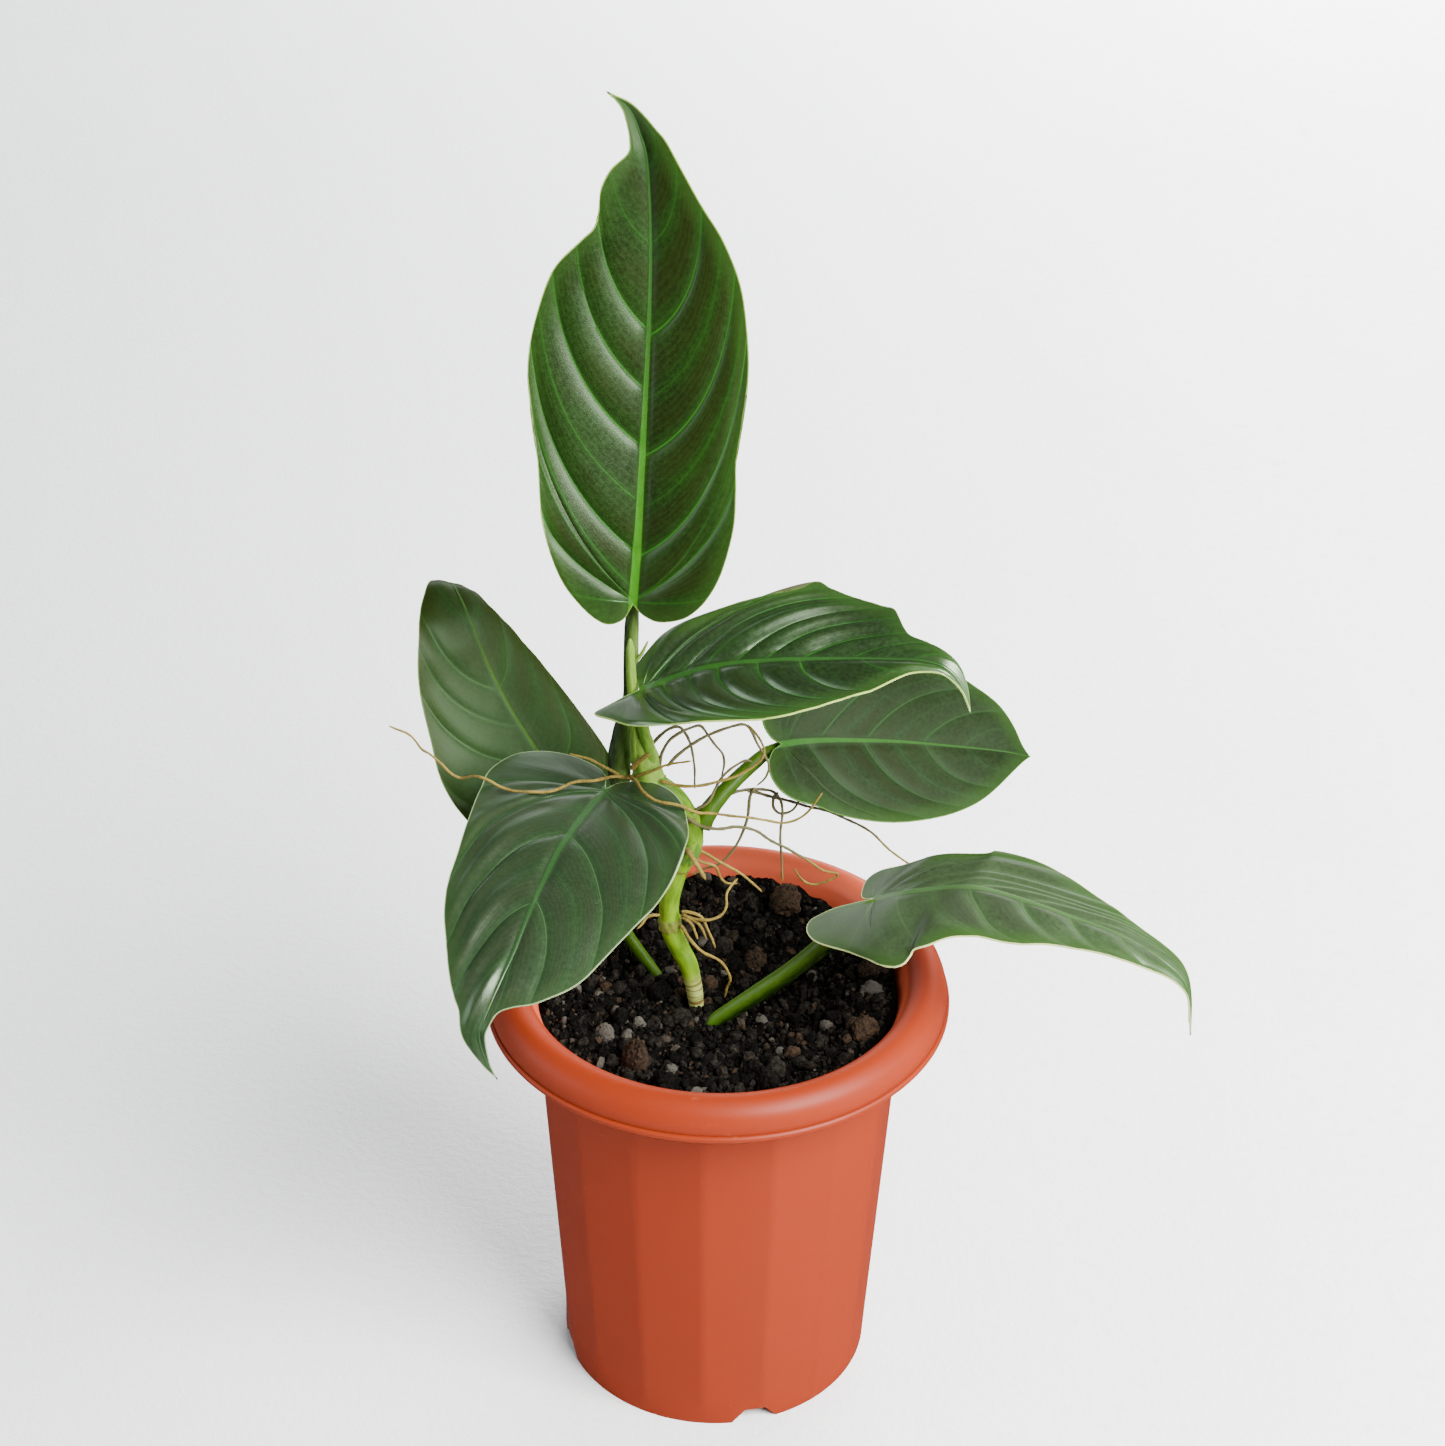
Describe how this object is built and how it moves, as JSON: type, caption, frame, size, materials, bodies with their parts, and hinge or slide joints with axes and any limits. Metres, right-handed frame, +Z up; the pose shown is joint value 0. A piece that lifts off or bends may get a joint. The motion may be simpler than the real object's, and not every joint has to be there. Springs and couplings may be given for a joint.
{
  "type": "potted philodendron subhastatum",
  "caption": "Young philodendron with long arrow-shaped leaves and aerial roots, standing in dark potting mix in a fluted plastic pot with a rolled rim.",
  "frame": {"origin": "centre of the pot's foot, on the surface the pot stands on", "axes": "+Z up the plant, the plant's front faces -Y, +X to the right of a viewer who looks at the front"},
  "size_m": [0.2476, 0.1938, 0.4325],
  "materials": {
    "pot_plastic": "satin terracotta-coloured plastic",
    "potting_soil": "matt dark potting mix with crumbs",
    "stem_green": "smooth yellow-green stem",
    "petiole_green": "smooth green leaf stalk",
    "leaf_green": "glossy dark green leaf with pale veins",
    "root_tan": "matt tan aerial root"
  },
  "bodies": {
    "root": {"pot": "pot_plastic", "soil": "potting_soil", "main_stem": "stem_green", "leaf_1_petiole": "petiole_green", "leaf_2_petiole": "petiole_green", "leaf_3_petiole": "petiole_green", "leaf_4_petiole": "petiole_green", "leaf_5_petiole": "petiole_green", "leaf_6_petiole": "petiole_green", "leaf_1_blade": "leaf_green", "leaf_2_blade": "leaf_green", "leaf_3_blade": "leaf_green", "leaf_4_blade": "leaf_green", "leaf_5_blade": "leaf_green", "leaf_6_blade": "leaf_green", "young_shoot": "petiole_green", "roots_crown": "root_tan", "roots_fork": "root_tan", "roots_lower": "root_tan"}
  },
  "joints": []
}
